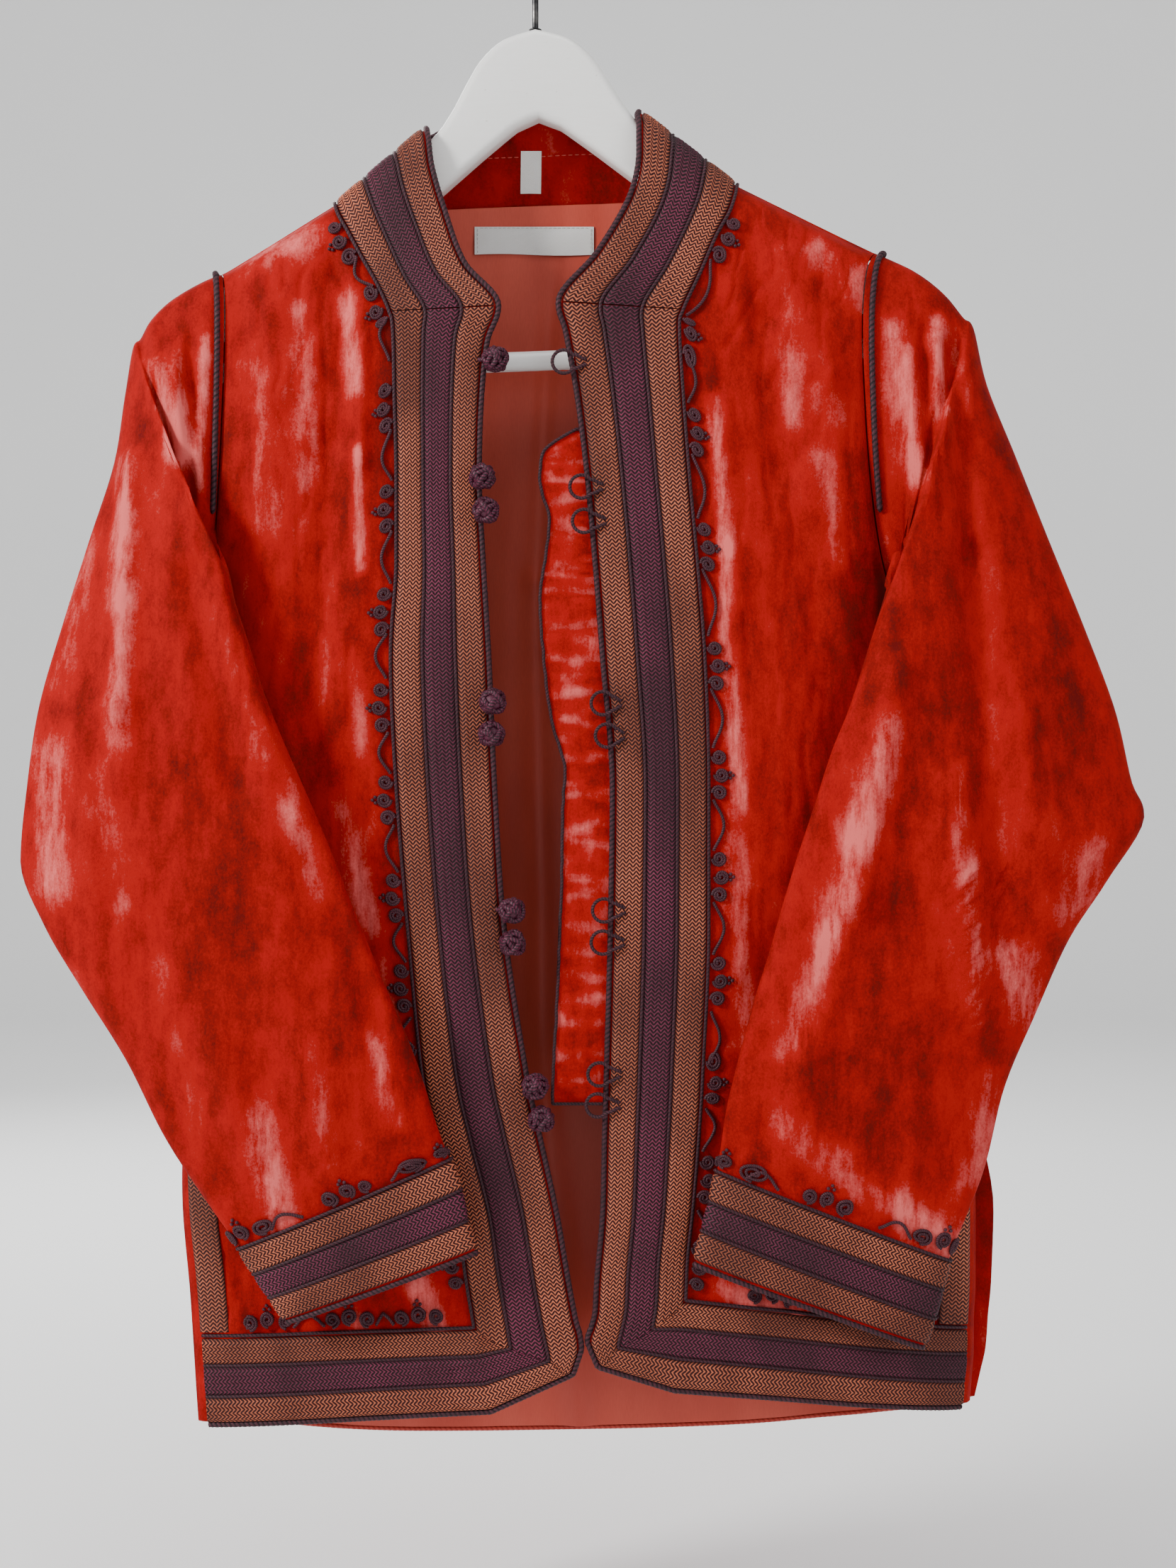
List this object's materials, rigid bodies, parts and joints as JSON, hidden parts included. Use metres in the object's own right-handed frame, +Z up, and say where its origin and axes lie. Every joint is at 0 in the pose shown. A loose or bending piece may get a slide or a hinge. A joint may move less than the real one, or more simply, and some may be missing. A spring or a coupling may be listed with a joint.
{
  "type": "velvet jacket on clothes hanger",
  "caption": "Open-front velvet jacket with a stand collar, braided bands, scroll trim, ball buttons and cord loops, hanging on a wooden hanger with a trouser bar",
  "frame": {"origin": "the inner top of the hanger's hook, where a rail or peg carries it", "axes": "X to the viewer's right, which is the wearer's left; Y from the front to the back; Z up"},
  "size_m": [0.582, 0.0844, 0.8184],
  "materials": {
    "velvet": "crushed pile velvet with a soft pink sheen",
    "copper": "herringbone braid of light copper and dark threads",
    "purple": "herringbone braid of purple and dark threads",
    "cord": "twisted dark plum cord",
    "button": "knotted cord ball",
    "lining": "smooth satin",
    "label": "plain woven tape",
    "wood": "white satin paint",
    "metal": "dark wire"
  },
  "bodies": {
    "root": {"front_right": "velvet", "front_left": "velvet", "sleeve_right_cap": "velvet", "sleeve_right_front": "velvet", "sleeve_right_back": "velvet", "sleeve_left_cap": "velvet", "sleeve_left_front": "velvet", "sleeve_left_back": "velvet", "collar": "velvet", "back": "velvet", "placket": "velvet", "back_lining": "lining", "back_hem_cord": "lining", "band_outer_right": "copper", "band_middle_right": "purple", "band_inner_right": "copper", "band_outer_left": "copper", "band_middle_left": "purple", "band_inner_left": "copper", "vent_band_right": "copper", "vent_band_left": "copper", "cuff_upper_right": "copper", "cuff_middle_right": "purple", "cuff_lower_right": "copper", "cuff_upper_left": "copper", "cuff_middle_left": "purple", "cuff_lower_left": "copper", "cuff_trim_right": "cord", "cuff_trim_left": "cord", "scroll_trim_right": "cord", "scroll_trim_left": "cord", "edge_cord_right": "cord", "edge_cord_left": "cord", "armhole_piping_right": "cord", "armhole_piping_left": "cord", "button_1": "button", "button_2": "button", "button_3": "button", "button_4": "button", "button_5": "button", "button_6": "button", "button_7": "button", "button_8": "button", "button_9": "button", "loop_1": "cord", "loop_2": "cord", "loop_3": "cord", "loop_4": "cord", "loop_5": "cord", "loop_6": "cord", "loop_7": "cord", "loop_8": "cord", "loop_9": "cord", "label": "label", "size_tab": "label", "hanger": "wood", "trouser_bar": "wood", "hook": "metal"}
  },
  "joints": []
}
